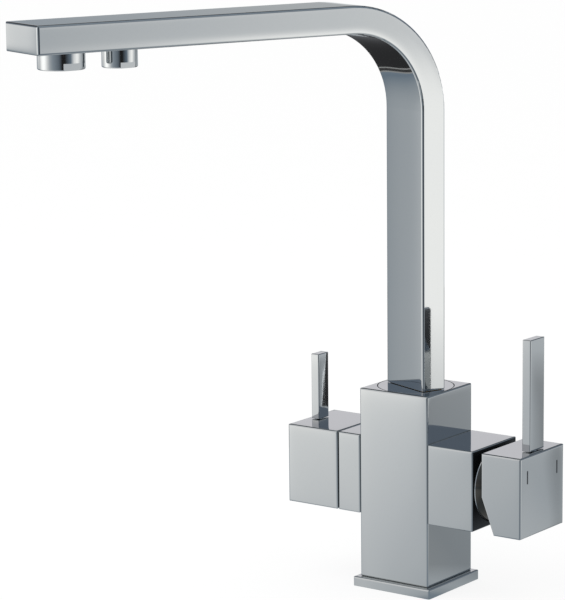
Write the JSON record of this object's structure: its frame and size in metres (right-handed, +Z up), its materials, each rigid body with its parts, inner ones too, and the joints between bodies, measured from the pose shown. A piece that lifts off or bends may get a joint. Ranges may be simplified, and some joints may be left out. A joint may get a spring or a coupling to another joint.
{
  "type": "three way filtered water tap",
  "caption": "Square kitchen tap with a flat swivel spout: one lever mixes hot and cold water, the other opens filtered water, and the two waters leave by separate outlets.",
  "frame": {"origin": "centre of the base plate's underside, on the worktop", "axes": "+Z up, -Y to the front, +X towards the mixer handle, -X towards the filter handle; at rest the spout stands 20.9 degrees from the front towards -X"},
  "size_m": [0.184, 0.2563, 0.328],
  "materials": {
    "polished_chrome": "polished",
    "brass": "machined",
    "rubber": "matte",
    "nylon": "moulded",
    "ceramic": "lapped",
    "steel": "bright",
    "mark_enamel": "enamel"
  },
  "bodies": {
    "tap_body": {"base_plate": "polished_chrome", "base_gasket": "rubber", "column": "polished_chrome", "mixer_arm": "polished_chrome", "filter_arm": "polished_chrome", "arm_o_rings": "rubber", "spout_grub_screw": "steel", "swivel_washer": "nylon", "valve_body": "brass", "valve_gasket": "rubber", "valve_fixed_disc": "ceramic", "cartridge_base": "nylon", "cartridge_seals": "rubber", "cartridge_housing": "nylon", "cartridge_fixed_disc": "ceramic", "cartridge_nut": "brass", "dome_cap": "polished_chrome"},
    "spout": {"swivel_disc": "polished_chrome", "spout_spigot": "brass", "swivel_bushes": "nylon", "spout_o_rings": "rubber", "spout_tube": "polished_chrome", "spout_end_cap": "polished_chrome", "inner_tube": "nylon", "inner_tube_tail": "brass", "tail_o_ring": "rubber", "filtered_outlet_block": "brass", "main_outlet_nipple": "brass", "main_aerator_housing": "polished_chrome", "main_aerator_insert": "nylon", "main_aerator_washer": "rubber", "filtered_aerator_housing": "polished_chrome", "filtered_aerator_insert": "nylon", "filtered_aerator_washer": "rubber"},
    "filter_control": {"filter_handle": "polished_chrome", "filter_lever": "polished_chrome", "filter_lever_screw": "steel", "filter_set_screw": "steel", "filter_screw_plug": "polished_chrome", "valve_spindle": "brass", "valve_moving_disc": "ceramic", "spindle_o_ring": "rubber"},
    "mixer_rotor": {"cartridge_rotor": "nylon", "stem_pin": "steel"},
    "mixer_control": {"mixer_handle": "polished_chrome", "mixer_lever": "polished_chrome", "mixer_lever_screw": "steel", "mixer_set_screw": "steel", "mixer_screw_plug": "polished_chrome", "temperature_marks": "mark_enamel", "cartridge_stem": "brass"},
    "mixing_disc": {"cartridge_moving_disc": "ceramic", "disc_carrier": "nylon"}
  },
  "joints": [
    {"name": "spout_swivel", "type": "hinge", "parent": "tap_body", "child": "spout", "pos_m": [0, 0, 0.1], "axis": [0, 0, 1], "continuous": true},
    {"name": "filter_turn", "type": "hinge", "parent": "tap_body", "child": "filter_control", "pos_m": [0, 0, 0.0641], "axis": [1, 0, 0], "range_deg": [0, 90]},
    {"name": "mixer_turn", "type": "hinge", "parent": "tap_body", "child": "mixer_rotor", "pos_m": [0.045, 0, 0.0641], "axis": [1, 0, 0], "range_deg": [-50, 50]},
    {"name": "mixer_tilt", "type": "hinge", "parent": "mixer_rotor", "child": "mixer_control", "pos_m": [0.045, 0, 0.0641], "axis": [0, 1, 0], "range_deg": [0, 25]},
    {"name": "disc_slide", "type": "slide", "parent": "mixer_rotor", "child": "mixing_disc", "axis": [0, 0, 1], "range_m": [0, 0.00402]}
  ],
  "couplings": [
    {"joint": "disc_slide", "follows": "mixer_tilt", "m_per_rad": 0.0092}
  ]
}
